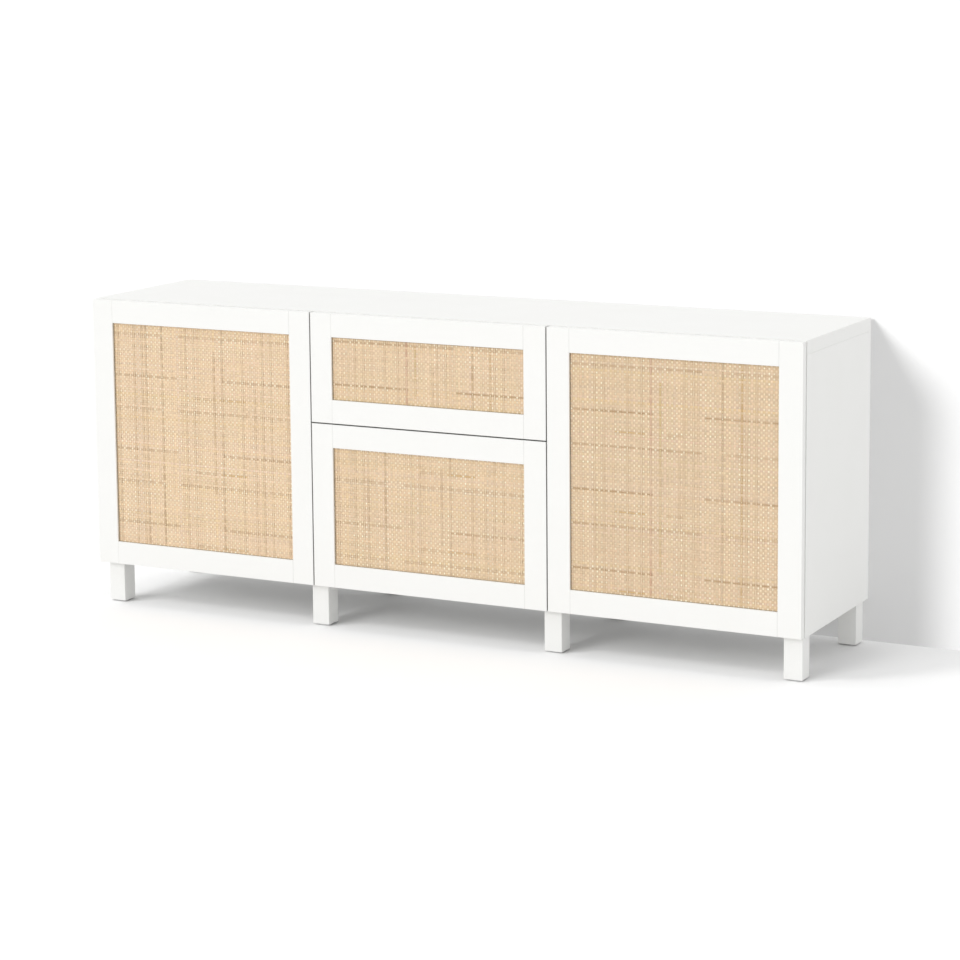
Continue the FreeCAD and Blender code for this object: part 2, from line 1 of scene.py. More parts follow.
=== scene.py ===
"""Looks of a low record cabinet: white boards and frames, doors and drawers faced with woven cord.

The boards, frames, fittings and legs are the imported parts, and each gets its finish here. The four
woven panels are built strand by strand, as warps and wefts that pass over and under each other.
Everything is in metres, with Z up and the fronts towards -Y.
"""
import logging
import math
from dataclasses import dataclass, field, replace
from enum import Enum

import bmesh
import bpy
import numpy as np
from mathutils import Matrix, Vector


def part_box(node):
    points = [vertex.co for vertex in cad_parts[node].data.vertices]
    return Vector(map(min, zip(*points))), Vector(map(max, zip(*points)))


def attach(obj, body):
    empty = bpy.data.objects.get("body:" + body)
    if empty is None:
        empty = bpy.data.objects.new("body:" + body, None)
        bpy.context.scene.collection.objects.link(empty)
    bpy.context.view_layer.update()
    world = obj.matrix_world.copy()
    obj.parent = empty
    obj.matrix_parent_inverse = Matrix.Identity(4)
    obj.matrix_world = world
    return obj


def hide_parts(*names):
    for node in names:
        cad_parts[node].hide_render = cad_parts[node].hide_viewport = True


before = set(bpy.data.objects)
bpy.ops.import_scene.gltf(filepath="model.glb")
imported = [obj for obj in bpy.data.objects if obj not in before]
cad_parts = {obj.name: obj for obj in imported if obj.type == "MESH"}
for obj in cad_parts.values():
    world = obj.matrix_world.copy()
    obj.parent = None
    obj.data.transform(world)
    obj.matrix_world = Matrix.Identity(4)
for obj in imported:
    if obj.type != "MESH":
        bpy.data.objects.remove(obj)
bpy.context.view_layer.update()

log = logging.getLogger("record_cabinet")
MM = 0.001
Colour = tuple[float, float, float, float]


def srgb(red: float, green: float, blue: float) -> Colour:
    """Turns a colour as a screen shows it, 0 to 255, into the linear colour that a shader takes.

    Args:
        red, green, blue: the colour's parts, from 0 to 255.

    Returns:
        The linear colour, with an alpha of 1.
    """
    def linear(part: float) -> float:
        """One part of the colour."""
        part = part / 255
        return part / 12.92 if part <= 0.04045 else ((part + 0.055) / 1.055) ** 2.4
    return (linear(red), linear(green), linear(blue), 1.0)


def grey(level: float) -> Colour:
    """The linear colour of a grey that sends back this share of the light."""
    return (level, level, level, 1.0)


# ---- shader expressions ----

class Flow:
    """What comes out of a shader node, used in an expression as if it were a number or a vector."""

    def __init__(self, sheet: "Sheet", socket: bpy.types.NodeSocket) -> None:
        """Keeps the socket and the sheet of nodes that it is on."""
        self.sheet = sheet
        self.socket = socket

    def _work(self, operation: str, first: object, second: object) -> "Flow":
        """Adds the node that works out one operation.

        Args:
            operation: the Math or Vector Math node's operation.
            first, second: flows, numbers or triples, in order.

        Returns:
            The result's flow.
        """
        kind = "ShaderNodeVectorMath" if self.socket.type == "VECTOR" else "ShaderNodeMath"
        return self.sheet.node(kind, {"operation": operation}, {0: first, 1: second})

    def __add__(self, other: object) -> "Flow":
        """self + other."""
        return self._work("ADD", self, other)

    def __radd__(self, other: object) -> "Flow":
        """other + self."""
        return self._work("ADD", other, self)

    def __sub__(self, other: object) -> "Flow":
        """self - other."""
        return self._work("SUBTRACT", self, other)

    def __rsub__(self, other: object) -> "Flow":
        """other - self."""
        return self._work("SUBTRACT", other, self)

    def __mul__(self, other: object) -> "Flow":
        """self * other."""
        return self._work("MULTIPLY", self, other)

    def __pow__(self, other: object) -> "Flow":
        """self ** other."""
        return self._work("POWER", self, other)

    def __abs__(self) -> "Flow":
        """Its size, whatever its sign."""
        return (self ** 2.0) ** 0.5


class Sheet:
    """The sheet of nodes of one material, started empty."""

    def __init__(self, name: str) -> None:
        """Makes the material and its output node."""
        self.material = bpy.data.materials.new(name)
        self.material.use_nodes = True
        self.tree = self.material.node_tree
        self.tree.nodes.clear()
        self.output = self.tree.nodes.new("ShaderNodeOutputMaterial")

    def node(self, kind: str, settings: dict | None = None, sockets: dict | None = None,
             take: str | int = 0) -> Flow:
        """Adds a node, sets it up and connects it.

        Args:
            kind: the node's type.
            settings: its properties, such as an operation.
            sockets: a value or a flow for each input, by name or number.
            take: the output that is wanted.

        Returns:
            The flow out of that output.
        """
        made = self.tree.nodes.new(kind)
        for name, value in (settings or {}).items():
            setattr(made, name, value)
        for name, value in (sockets or {}).items():
            self.feed(made.inputs[name], value)
        return Flow(self, made.outputs[take])

    def feed(self, socket: bpy.types.NodeSocket, value: object) -> None:
        """Connects a flow to an input, or sets the input's own value."""
        if isinstance(value, Flow):
            self.tree.links.new(value.socket, socket)
        else:
            socket.default_value = value

    def place(self, stretch: tuple[float, float, float] = (1.0, 1.0, 1.0)) -> Flow:
        """The point on the object in metres, times a stretch in each direction."""
        point = self.node("ShaderNodeTexCoord", take="Object")
        return point * stretch

    def noise(self, at: Flow, scale: float, detail: float = 2.0, roughness: float = 0.5) -> Flow:
        """A smooth noise from 0 to 1, evenly about a half.

        Args:
            at: the point that it is read at.
            scale: how many lumps there are to the metre of that point.
            detail: finer layers on top of the first.
            roughness: how strong the finer layers are.

        Returns:
            The noise's value.
        """
        sockets = {"Vector": at, "Scale": scale, "Detail": detail, "Roughness": roughness}
        return self.node("ShaderNodeTexNoise", None, sockets)

    def blend(self, share: object, first: object, second: object, way: str = "MIX") -> Flow:
        """Mixes two colours.

        Args:
            share: how much of the second colour is used, a number or a flow.
            first, second: the colours.
            way: the Mix node's way of blending them.

        Returns:
            The mixed colour.
        """
        settings = {"data_type": "RGBA", "blend_type": way, "clamp_factor": True}
        return self.node("ShaderNodeMix", settings, {0: share, 6: first, 7: second}, 2)

    def axis(self, name: str) -> Flow:
        """How far the point lies along X, Y or Z, in metres."""
        return self.node("ShaderNodeSeparateXYZ", None, {0: self.place()}, name)

    def rises(self, value: Flow, start: float, end: float) -> Flow:
        """A share from 0 to 1 as a value goes from start to end, which may be the smaller."""
        sockets = {"Value": value, "From Min": start, "From Max": end}
        return self.node("ShaderNodeMapRange", {"clamp": True}, sockets)

    def bump(self, height: Flow, depth: float) -> Flow:
        """A normal tilted by a height that runs from 0 to 1 over a depth in metres."""
        sockets = {"Height": height, "Distance": depth, "Strength": 1.0}
        return self.node("ShaderNodeBump", None, sockets)

    def surface(self, sockets: dict) -> None:
        """Ends the sheet with a Principled shader whose sockets take these values or flows."""
        shader = self.node("ShaderNodeBsdfPrincipled", None, sockets)
        self.feed(self.output.inputs["Surface"], shader)


# ---- finishes ----

class Grain(Enum):
    """Which way fibres run, as the stretch that draws a pattern out along them."""

    ACROSS = (1.0, 12.0, 12.0)
    UPRIGHT = (12.0, 12.0, 1.0)


class Finish:
    """A finish that makes its material once and hands it out after that."""

    name: str

    def material(self) -> bpy.types.Material:
        """The finish's material, made when it is first asked for."""
        found = bpy.data.materials.get(self.name)
        if found is None:
            sheet = Sheet(self.name)
            self.paint(sheet)
            found = sheet.material
        return found

    def paint(self, sheet: Sheet) -> None:
        """Fills the sheet. Each finish has its own."""
        raise NotImplementedError

    def on(self, names: list[str]) -> None:
        """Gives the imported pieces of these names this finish."""
        for name in names:
            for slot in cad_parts[name].material_slots:
                slot.material = self.material()
            log.info("%s: %s", name, self.name)


@dataclass(frozen=True)
class Lacquer(Finish):
    """White lacquer, sprayed and rubbed down, over board or wood whose grain just shows through."""

    name: str
    grain: Grain
    front: bool = False
    colour: Colour = srgb(248, 248, 246)
    shade: Colour = srgb(244, 244, 241)
    cloudiness: float = 0.6
    cloud_scale: float = 9.0
    grain_scale: float = 40.0
    film_scale: float = 900.0
    roughness: float = 0.36
    unevenness: float = 0.08
    relief: float = 1.0 * MM
    grain_share: float = 0.06
    film_share: float = 0.02
    # painted shade: the grey given to the faces that meet across the gaps between fronts
    gap_shade: Colour = srgb(196, 196, 193)
    joint: Colour = srgb(196, 196, 192)
    joint_strength: float = 0.5
    gap_out: float = 300.0 * MM
    gap_up: float = 484.0 * MM
    gap_reach: tuple[float, float] = (4.0 * MM, 3.0 * MM)
    face_ends: tuple[float, float] = (-209.7 * MM, -209.0 * MM)
    joints: tuple[float, ...] = (244.5 * MM, 355.5 * MM, 844.5 * MM)
    joint_reach: tuple[float, float] = (1.1 * MM, 0.5 * MM)

    def paint(self, sheet: Sheet) -> None:
        """Clouds the white a little, adds the grain and the sprayed film to the surface, and on
        fronts paints shade onto the faces at the gaps.
        """
        cloud = sheet.noise(sheet.place(), self.cloud_scale, detail=3.0)
        fibres = sheet.noise(sheet.place(self.grain.value), self.grain_scale,
                             detail=5.0, roughness=0.6)
        film = sheet.noise(sheet.place(), self.film_scale, detail=1.0)
        height = fibres * self.grain_share + film * self.film_share
        share = cloud * self.cloudiness + fibres * (1.0 - self.cloudiness)
        colour = sheet.blend(share, self.colour, self.shade)
        if self.front:
            colour = self._gap_shade_and_joints(sheet, colour)
        sheet.surface({
            "Base Color": colour,
            "Roughness": self.roughness + cloud * self.unevenness + film * self.unevenness,
            "Normal": sheet.bump(height, self.relief),
        })

    def _gap_shade_and_joints(self, sheet: Sheet, colour: Flow) -> Flow:
        """Adds painted shade on the faces where fronts meet across the gaps, and the fine line where
        a rail meets a stile.

        Args:
            sheet: the material's sheet.
            colour: the lacquer's colour.

        Returns:
            The colour with both added.
        """
        out = abs(sheet.axis("X"))
        beside = sheet.rises(abs(out - self.gap_out), *self.gap_reach)
        between = sheet.rises(abs(sheet.axis("Z") - self.gap_up), *self.gap_reach)
        between = between * sheet.rises(out, self.gap_out, self.gap_out - 1.0 * MM)
        behind = sheet.rises(sheet.axis("Y"), *self.face_ends)
        # painted shade: greys the edge faces that face each other across the gaps
        colour = sheet.blend((beside + between) * behind, colour, self.gap_shade)
        if self.grain is Grain.ACROSS:
            for place in self.joints:
                line = sheet.rises(abs(out - place), *self.joint_reach)
                colour = sheet.blend(line * self.joint_strength, colour, self.joint)
        return colour


@dataclass(frozen=True)
class Board(Finish):
    """A faced or raw board, with fine flecks in it and a slight press texture."""

    name: str
    colour: Colour
    fleck: Colour
    roughness: float = 0.55
    fleck_scale: float = 260.0
    fleck_stretch: tuple[float, float, float] = (1.0, 1.0, 0.35)
    fleck_share: float = 0.7
    fleck_range: tuple[float, float] = (0.4, 0.7)
    cloud_scale: float = 7.0
    unevenness: float = 0.12
    relief: float = 0.05 * MM

    def paint(self, sheet: Sheet) -> None:
        """Scatters short flecks and slow clouds over the board's colour."""
        flecks = sheet.noise(sheet.place(self.fleck_stretch), self.fleck_scale,
                             detail=4.0, roughness=0.7)
        cloud = sheet.noise(sheet.place(), self.cloud_scale, detail=2.0)
        mixed = flecks * self.fleck_share + cloud * (1.0 - self.fleck_share)
        share = sheet.rises(mixed, *self.fleck_range)
        sheet.surface({
            "Base Color": sheet.blend(share, self.colour, self.fleck),
            "Roughness": self.roughness + flecks * self.unevenness,
            "Normal": sheet.bump(flecks, self.relief),
        })


@dataclass(frozen=True)
class ZincSteel(Finish):
    """Pressed steel with a bright zinc coat, drawn along its length and slightly mottled."""

    name: str = "zinc_steel"
    colour: Colour = srgb(214, 216, 220)
    dull: Colour = srgb(178, 181, 188)
    drawn_stretch: tuple[float, float, float] = (60.0, 1.0, 60.0)
    drawn_scale: float = 30.0
    mottle_scale: float = 240.0
    drawn_share: float = 0.5
    roughness: float = 0.24
    unevenness: float = 0.22
    relief: float = 0.03 * MM

    def paint(self, sheet: Sheet) -> None:
        """Mixes drawn lines and mottling into the colour and the gloss."""
        drawn = sheet.noise(sheet.place(self.drawn_stretch), self.drawn_scale, detail=3.0)
        mottle = sheet.noise(sheet.place(), self.mottle_scale, detail=3.0)
        wear = drawn * self.drawn_share + mottle * (1.0 - self.drawn_share)
        sheet.surface({
            "Base Color": sheet.blend(wear, self.colour, self.dull),
            "Metallic": 1.0,
            "Roughness": self.roughness + wear * self.unevenness,
            "Normal": sheet.bump(drawn, self.relief),
        })


@dataclass(frozen=True)
class MouldedPlastic(Finish):
    """Grey plastic moulded against a lightly sparked tool."""

    name: str = "grey_plastic"
    colour: Colour = srgb(168, 169, 170)
    dark: Colour = srgb(152, 153, 155)
    spark_scale: float = 1600.0
    flow_scale: float = 60.0
    roughness: float = 0.42
    unevenness: float = 0.16
    relief: float = 0.04 * MM

    def paint(self, sheet: Sheet) -> None:
        """Adds the sparked texture and a slow change of tone."""
        spark = sheet.noise(sheet.place(), self.spark_scale, detail=2.0)
        flow = sheet.noise(sheet.place(), self.flow_scale, detail=2.0)
        sheet.surface({
            "Base Color": sheet.blend(flow, self.colour, self.dark),
            "Roughness": self.roughness + spark * self.unevenness,
            "Normal": sheet.bump(spark, self.relief),
        })


@dataclass(frozen=True)
class Cord(Finish):
    """Twisted cord of pale fibre, painted with shade and highlights by four attributes of its piece.

    They are the strand's own colour, how far a point is raised towards the front, how far it lies
    from the middle of its strand, and how strong the painted highlight on the strand's crests is
    there.
    """

    name: str
    grain: Grain
    # the colour of the painted highlight on the crests
    crest: Colour = srgb(255, 248, 222)
    # the colour of the painted shade in dips and at the strands' sides, and of the darker fibres
    hollow: Colour = srgb(208, 178, 140)
    rosy: Colour = srgb(255, 218, 206)
    sallow: Colour = srgb(244, 236, 200)
    tint_scale: float = 14.0
    tint_share: float = 0.14
    patch_scale: float = 16.0
    patch_at: tuple[float, float, float] = (3.1, 0.0, 1.7)
    patch_range: tuple[float, float] = (0.38, 0.62)
    fibre_scale: float = 260.0
    dip_shade: float = 0.12
    side_shade: float = 0.09
    fibre_shade: float = 0.06
    crest_sharpness: float = 3.0
    crest_levels: tuple[float, float] = (0.6, 1.1)
    roughness: float = 0.55
    unevenness: float = 0.2
    relief: float = 0.12 * MM

    def paint(self, sheet: Sheet) -> None:
        """Paints shade into the strands' dips and sides and highlights onto their crests, tints them
        over the panel and adds the fibres.
        """
        dye = self._attribute(sheet, "dye", "Color")
        rise, side, crest_highlight = (self._attribute(sheet, name) for name in ("rise", "side", "crest_highlight"))
        tint = sheet.noise(sheet.place(), self.tint_scale, detail=3.0, roughness=0.6)
        clouds = sheet.noise(sheet.place() + self.patch_at, self.patch_scale, detail=3.0)
        patch = sheet.rises(clouds, *self.patch_range)
        fibres = sheet.noise(sheet.place(self.grain.value), self.fibre_scale,
                             detail=3.0, roughness=0.6)
        warm = sheet.blend(tint, self.rosy, self.sallow)
        colour = sheet.blend(self.tint_share, dye, warm, "MULTIPLY")
        # painted shade: darker where a strand dips behind another and towards its sides
        shade = (1.0 - rise) * self.dip_shade + side * side * self.side_shade
        colour = sheet.blend(shade, colour, self.hollow)
        colour = sheet.blend(fibres * self.fibre_shade, colour, self.hollow)
        least, gain = self.crest_levels
        # painted highlight: a pale spot on the middle of each raised crest, strongest on the even
        # warps
        shine = crest_highlight * (rise ** self.crest_sharpness) * (1.0 - side * side) * (least + patch * gain)
        colour = sheet.blend(shine, colour, self.crest)
        sheet.surface({
            "Base Color": colour,
            "Roughness": self.roughness + fibres * self.unevenness,
            "Normal": sheet.bump(fibres, self.relief),
        })

    @staticmethod
    def _attribute(sheet: Sheet, name: str, take: str = "Fac") -> Flow:
        """One of the piece's attributes."""
        return sheet.node("ShaderNodeAttribute", {"attribute_name": name}, take=take)


# ---- woven panels ----

@dataclass(frozen=True)
class Float:
    """A stretch of a strand that is finer than the others and has a colour of its own.

    In dashes, it lies in front at three crossings in four, where others dip at every second one,
    and the crossing strand ties it down at the fourth.
    """

    strand: int
    colour: Colour
    start: float = 0.0
    end: float = 1.0
    dashes: bool = True


BROWN = srgb(192, 163, 127)
UMBER = srgb(189, 158, 121)
TAN = srgb(203, 174, 140)
SAND = srgb(211, 185, 151)
FAINT = srgb(219, 193, 159)
STRAW = srgb(223, 198, 165)
PALE = srgb(231, 206, 174)
OCHRE = srgb(218, 186, 135)
GOLD = srgb(203, 174, 112)
AMBER = srgb(196, 158, 98)
RUST = srgb(209, 166, 140)
TURNS = (0.4, 1.0, 2.3)


def wanders(count: int, along: np.ndarray, size: float, waves: float,
            rng: np.random.Generator) -> np.ndarray:
    """Slow uneven curves, one to a strand.

    Args:
        count: how many strands there are.
        along: places along a strand, 0 to 1, one column of the result each.
        size: how far a curve strays.
        waves: about how many waves fit along a strand.
        rng: the source of chance.

    Returns:
        The stray of each strand at each place.
    """
    total = np.zeros((count, len(along)))
    for turn in TURNS:
        phase = rng.uniform(0, 2 * math.pi, (count, 1))
        rate = waves * turn * rng.uniform(0.8, 1.2, (count, 1))
        total += np.sin(2 * math.pi * rate * along[None, :] + phase) / (1 + turn)
    return size * total


@dataclass(frozen=True)
class Handwork:
    """How unevenly the strands are spun, laid and dyed.

    A name that ends in waves holds how far a slow curve strays, and about how many waves it has.
    The line strays in metres, the rest as a share. The painted crest highlight is a mean and the
    spread about it.
    """

    line_waves: tuple[float, float] = (0.16 * MM, 7.0)
    width_waves: tuple[float, float] = (0.05, 16.0)
    width: float = 0.04
    warp_tone: float = 0.038
    weft_tone: float = 0.018
    tone_waves: tuple[float, float] = (0.025, 5.0)
    tone_spots: float = 0.045
    dull_warps: float = 0.12
    dullness: float = 0.045
    red: float = 0.012
    blue: float = 0.04
    crest_highlight: tuple[float, float] = (0.54, 0.3)
    odd_crest_highlight: float = 0.2
    crest_highlight_limit: float = 1.4
    crest_highlight_by_strand: tuple[float, float] = (0.6, 1.4)
    tie_crest_highlight: float = 0.65
    dyed: float = 0.8
    dyed_waves: tuple[float, float] = (0.3, 2.5)
    least_dyed: float = 0.15


@dataclass
class Weave:
    """The strands of one woven panel: warps stand upright and wefts lie across.

    Even warps are narrow and pale, and show as bright dots, brightened by painted highlights, where
    they cross the even wefts.
    Odd wefts are broad and flat. Strands are counted from the opening's left edge and from its top.
    A pair of settings is for warps and wefts. half_widths has even and odd warps, then even and
    odd wefts, and warps_proud has even and odd warps.
    """

    node: str
    body: str
    first_warp: float
    first_weft: float
    warp_floats: list[Float] = field(default_factory=list)
    weft_floats: list[Float] = field(default_factory=list)
    seed: int = 1
    tone: float = 1.0
    warp_pitch: float = 5.565 * MM
    weft_pitch: float = 5.53 * MM
    groove: float = 7.5 * MM
    tuck: float = 3.0 * MM
    lift: float = 0.52 * MM
    half_widths: tuple[float, float, float, float] = (2.05 * MM, 2.55 * MM, 2.55 * MM, 2.7 * MM)
    half_depths: tuple[float, float] = (0.5 * MM, 0.4 * MM)
    fineness: tuple[float, float] = (0.66, 0.5)
    warps_proud: tuple[float, float] = (1.12, 0.94)
    colours: tuple[Colour, Colour] = (srgb(236, 213, 181), srgb(231, 205, 172))
    hand: Handwork = Handwork()
    seed_steps: tuple[int, int] = (100, 200)
    strand_range: range = range(-2, 400)
    edge_margin: float = 2.4 * MM
    rod_sides: int = 5
    rod_spacing: float = 4.0
    rod_smooth: float = 0.9
    left: float = field(init=False)
    right: float = field(init=False)
    bottom: float = field(init=False)
    top: float = field(init=False)
    middle: float = field(init=False)
    warp_at: dict[int, float] = field(init=False)
    weft_at: dict[int, float] = field(init=False)
    ties: np.ndarray = field(init=False)

    def build(self) -> None:
        """Builds both sets of strands over the panel's place in its frame."""
        low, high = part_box(self.node)
        self.left, self.right = low.x + self.groove, high.x - self.groove
        self.bottom, self.top = low.z + self.groove, high.z - self.groove
        self.middle = (low.y + high.y) / 2
        self.warp_at = self._places(self.left + self.first_warp, self.warp_pitch,
                                    self.left, self.right)
        self.weft_at = self._places(self.top - self.first_weft, -self.weft_pitch,
                                    self.top, self.bottom)
        over = self._crossings()
        warps = self._strands("warps", True, over)
        wefts = self._strands("wefts", False, over)
        for piece, name in ((warps, "cord_upright"), (wefts, "cord_across")):
            grain = Grain.UPRIGHT if piece is warps else Grain.ACROSS
            piece.data.materials.append(Cord(name, grain).material())
            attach(piece, self.body)
            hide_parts(self.node)
            log.info("%s: %d faces", piece.name, len(piece.data.polygons))

    def _places(self, first: float, pitch: float, start: float, end: float) -> dict[int, float]:
        """Finds the strands that lie in the opening, or just past its edges.

        Args:
            first: where strand 0 lies.
            pitch: how far the next one lies from it.
            start, end: the opening's edges.

        Returns:
            Where each strand lies, by its number.
        """
        found = {}
        for number in self.strand_range:
            place = first + number * pitch
            if (place - start) * (end - place) > -self.edge_margin * abs(end - start):
                found[number] = place
        return found

    def _crossings(self) -> np.ndarray:
        """Which crossings have the warp in front, one row to a warp and one column to a weft.

        It also keeps in ties, laid out the same way, a 1 at each crossing that ties a dash down.

        Returns:
            An array of +1 where the warp is in front and -1 where the weft is.
        """
        warp_numbers = np.array(list(self.warp_at))
        weft_numbers = np.array(list(self.weft_at))
        plain = (warp_numbers[:, None] + weft_numbers[None, :]) % 2 == 0
        over = np.where(plain, 1.0, -1.0)
        self.ties = np.zeros(over.shape)
        across = (np.array(list(self.warp_at.values())) - self.left) / (self.right - self.left)
        down = (self.top - np.array(list(self.weft_at.values()))) / (self.top - self.bottom)
        for strand in (strand for strand in self.weft_floats if strand.dashes):
            column = weft_numbers == strand.strand
            row = (across > strand.start) & (across < strand.end)
            over[np.ix_(row & (warp_numbers % 4 != 3), column)] = -1.0
            self.ties[np.ix_(row & (warp_numbers % 4 == 3), column)] = 1.0
        for strand in (strand for strand in self.warp_floats if strand.dashes):
            row = warp_numbers == strand.strand
            column = (down > strand.start) & (down < strand.end)
            over[np.ix_(row, column & (weft_numbers % 4 != 2))] = 1.0
            self.ties[np.ix_(row, column & (weft_numbers % 4 == 2))] = 1.0
        return over

    def _bundle(self, name: str, count: int, rings: int) -> bpy.types.Object:
        """Straight rods side by side along X, one unit in radius and `rings` long.

        Args:
            name: the piece's name.
            count: how many rods there are.
            rings: how many sections each rod is cut into along Z.

        Returns:
            The new object.
        """
        mesh = bmesh.new()
        start = Matrix.Translation((0, 0, rings / 2)) @ Matrix.Rotation(math.pi, 4, "Z")
        bmesh.ops.create_cone(mesh, cap_ends=True, segments=self.rod_sides, radius1=1, radius2=1,
                              depth=rings, matrix=start)
        long_edges = [edge for edge in mesh.edges
                      if abs(edge.verts[0].co.z - edge.verts[1].co.z) > rings / 2]
        bmesh.ops.subdivide_edges(mesh, edges=long_edges, cuts=rings - 1, use_grid_fill=False)
        for edge in mesh.edges:
            edge.smooth = min(abs(vert.co.x) for vert in edge.verts) < self.rod_smooth
        rod = mesh.verts[:] + mesh.edges[:] + mesh.faces[:]
        for number in range(1, count):
            copied = bmesh.ops.duplicate(mesh, geom=rod)["geom"]
            verts = [part for part in copied if isinstance(part, bmesh.types.BMVert)]
            bmesh.ops.translate(mesh, vec=(self.rod_spacing * number, 0, 0), verts=verts)
        for face in mesh.faces:
            face.smooth = len(face.verts) == 4
        data = bpy.data.meshes.new(name)
        mesh.to_mesh(data)
        mesh.free()
        made = bpy.data.objects.new(name, data)
        bpy.context.scene.collection.objects.link(made)
        return made

    def _strands(self, name: str, upright: bool, over: np.ndarray) -> bpy.types.Object:
        """Weaves one set of strands.

        Args:
            name: warps or wefts.
            upright: whether these are the warps.
            over: the crossings, as _crossings gives them.

        Returns:
            The piece, with its strands' colours and relief as attributes.
        """
        kind = 0 if upright else 1
        rng = np.random.default_rng(self.seed + self.seed_steps[kind])
        mine, other = (self.warp_at, self.weft_at) if upright else (self.weft_at, self.warp_at)
        floats = self.warp_floats if upright else self.weft_floats
        heights = over if upright else -over.T
        ties = self.ties if upright else self.ties.T
        count, crossed = heights.shape
        numbers = np.array(list(mine))
        centres = np.array(list(mine.values()))
        stations = np.array(list(other.values()))
        rings = 2 * crossed
        # a half-step before the first crossing and after the last, then crossings and gaps in turn
        sections, crossings = np.arange(rings + 1), np.arange(crossed) * 2 + 1
        at = np.interp(sections, crossings, stations)
        step = (stations[1] - stations[0]) / 2
        edge = self.tuck * np.sign(step)
        first, last = (self.top, self.bottom) if upright else (self.left, self.right)
        at[0], at[-1] = first - edge, last + edge
        height, tied = (np.array([np.interp(sections, crossings, row) for row in rows])
                        for rows in (heights, ties))
        along = np.linspace(0, 1, rings + 1)
        stray = wanders(count, along, *self.hand.line_waves, rng)
        swell = 1 + wanders(count, along, *self.hand.width_waves, rng)
        swell = swell + rng.normal(0, self.hand.width, (count, 1))
        even, odd = self.half_widths[:2] if upright else self.half_widths[2:]
        width = np.where(numbers % 2 == 0, even, odd)[:, None] * swell
        for dark in floats:
            inside = (along > dark.start) & (along < dark.end)
            width[np.ix_(numbers == dark.strand, inside)] *= self.fineness[kind]
        proud = np.where(numbers % 2 == 0, *self.warps_proud) if upright else np.ones(count)

        piece = self._bundle(f"{self.node}_{name}", count, rings)
        verts = len(piece.data.vertices)
        place = np.empty(verts * 3, np.float32)
        piece.data.vertices.foreach_get("co", place)
        place = place.reshape(-1, 3).astype(float)
        strand = np.rint(place[:, 0] / self.rod_spacing).astype(int)
        ring = np.rint(place[:, 2]).astype(int)
        across, depth = place[:, 0] - self.rod_spacing * strand, place[:, 1]
        line = centres[strand] + stray[strand, ring] + across * width[strand, ring]
        lift = self.lift * proud[strand] * height[strand, ring]
        front = self.middle - lift + depth * self.half_depths[kind]
        run = at[ring]
        columns = (line, front, run) if upright else (run, front, line)
        piece.data.vertices.foreach_set("co", np.stack(columns, 1).astype(np.float32).ravel())
        dye, crest_highlight = self._dyes(tied, numbers, floats, along, upright, rng)
        colour = piece.data.attributes.new("dye", "FLOAT_COLOR", "POINT")
        colour.data.foreach_set("color", dye[strand, ring].astype(np.float32).ravel())
        for name, values in (("rise", (height[strand, ring] + 1) / 2), ("side", np.abs(across)),
                             ("crest_highlight", crest_highlight[strand, ring])):
            kept = piece.data.attributes.new(name, "FLOAT", "POINT")
            kept.data.foreach_set("value", values.astype(np.float32))
        piece.data.update()
        return piece

    def _dyes(self, tied: np.ndarray, numbers: np.ndarray, floats: list[Float], along: np.ndarray,
              upright: bool, rng: np.random.Generator) -> tuple[np.ndarray, np.ndarray]:
        """Colours a set of strands, section by section.

        Args:
            tied: where each strand crosses over a darker one and holds it down, 0 to 1.
            numbers: the strands' numbers, as their floats count them.
            floats: the darker strands.
            along: the sections' places along a strand, 0 to 1.
            upright: whether the strands are warps.
            rng: the source of chance.

        Returns:
            The strands' colours and how strong the painted highlight on their crests is, one row to
            a strand.
        """
        hand = self.hand
        each, every = (len(numbers), 1), (len(numbers), len(along))
        tone = 1 + rng.normal(0, hand.warp_tone if upright else hand.weft_tone, each)
        tone = tone + wanders(len(numbers), along, *hand.tone_waves, rng)
        tone = tone + rng.normal(0, hand.tone_spots, every)
        tone = tone - hand.dullness * (rng.random(each) < hand.dull_warps) * upright
        base = np.array(self.colours[0 if upright else 1])
        dye = base * tone[:, :, None] * self.tone
        dye[:, :, 0] *= 1 + rng.normal(0, hand.red, each)
        dye[:, :, 2] *= 1 + rng.normal(0, hand.blue, each)
        even = numbers % 2 == 0
        # strength of the painted highlight on each section's crest: even warps get the most, and
        # crossings that tie a dash down get some
        crest_highlight = np.where(even[:, None], rng.normal(*hand.crest_highlight, every), hand.odd_crest_highlight)
        crest_highlight = np.clip(crest_highlight, 0, hand.crest_highlight_limit) * rng.uniform(*hand.crest_highlight_by_strand, each) * upright
        crest_highlight = np.maximum(crest_highlight, tied * hand.tie_crest_highlight * upright)
        shares = hand.dyed + wanders(len(numbers), along, *hand.dyed_waves, rng)
        shares = np.clip(shares, hand.least_dyed, 1)[:, :, None]
        for dark in floats:
            inside = (along > dark.start) & (along < dark.end)
            part = np.ix_(numbers == dark.strand, inside)
            dye[part] = (1 - shares[part]) * dye[part] + shares[part] * np.array(dark.colour)
        dye = np.clip(dye, 0, 1)
        dye[:, :, 3] = 1
        return dye, crest_highlight


# ---- the cabinet's sub-assemblies ----

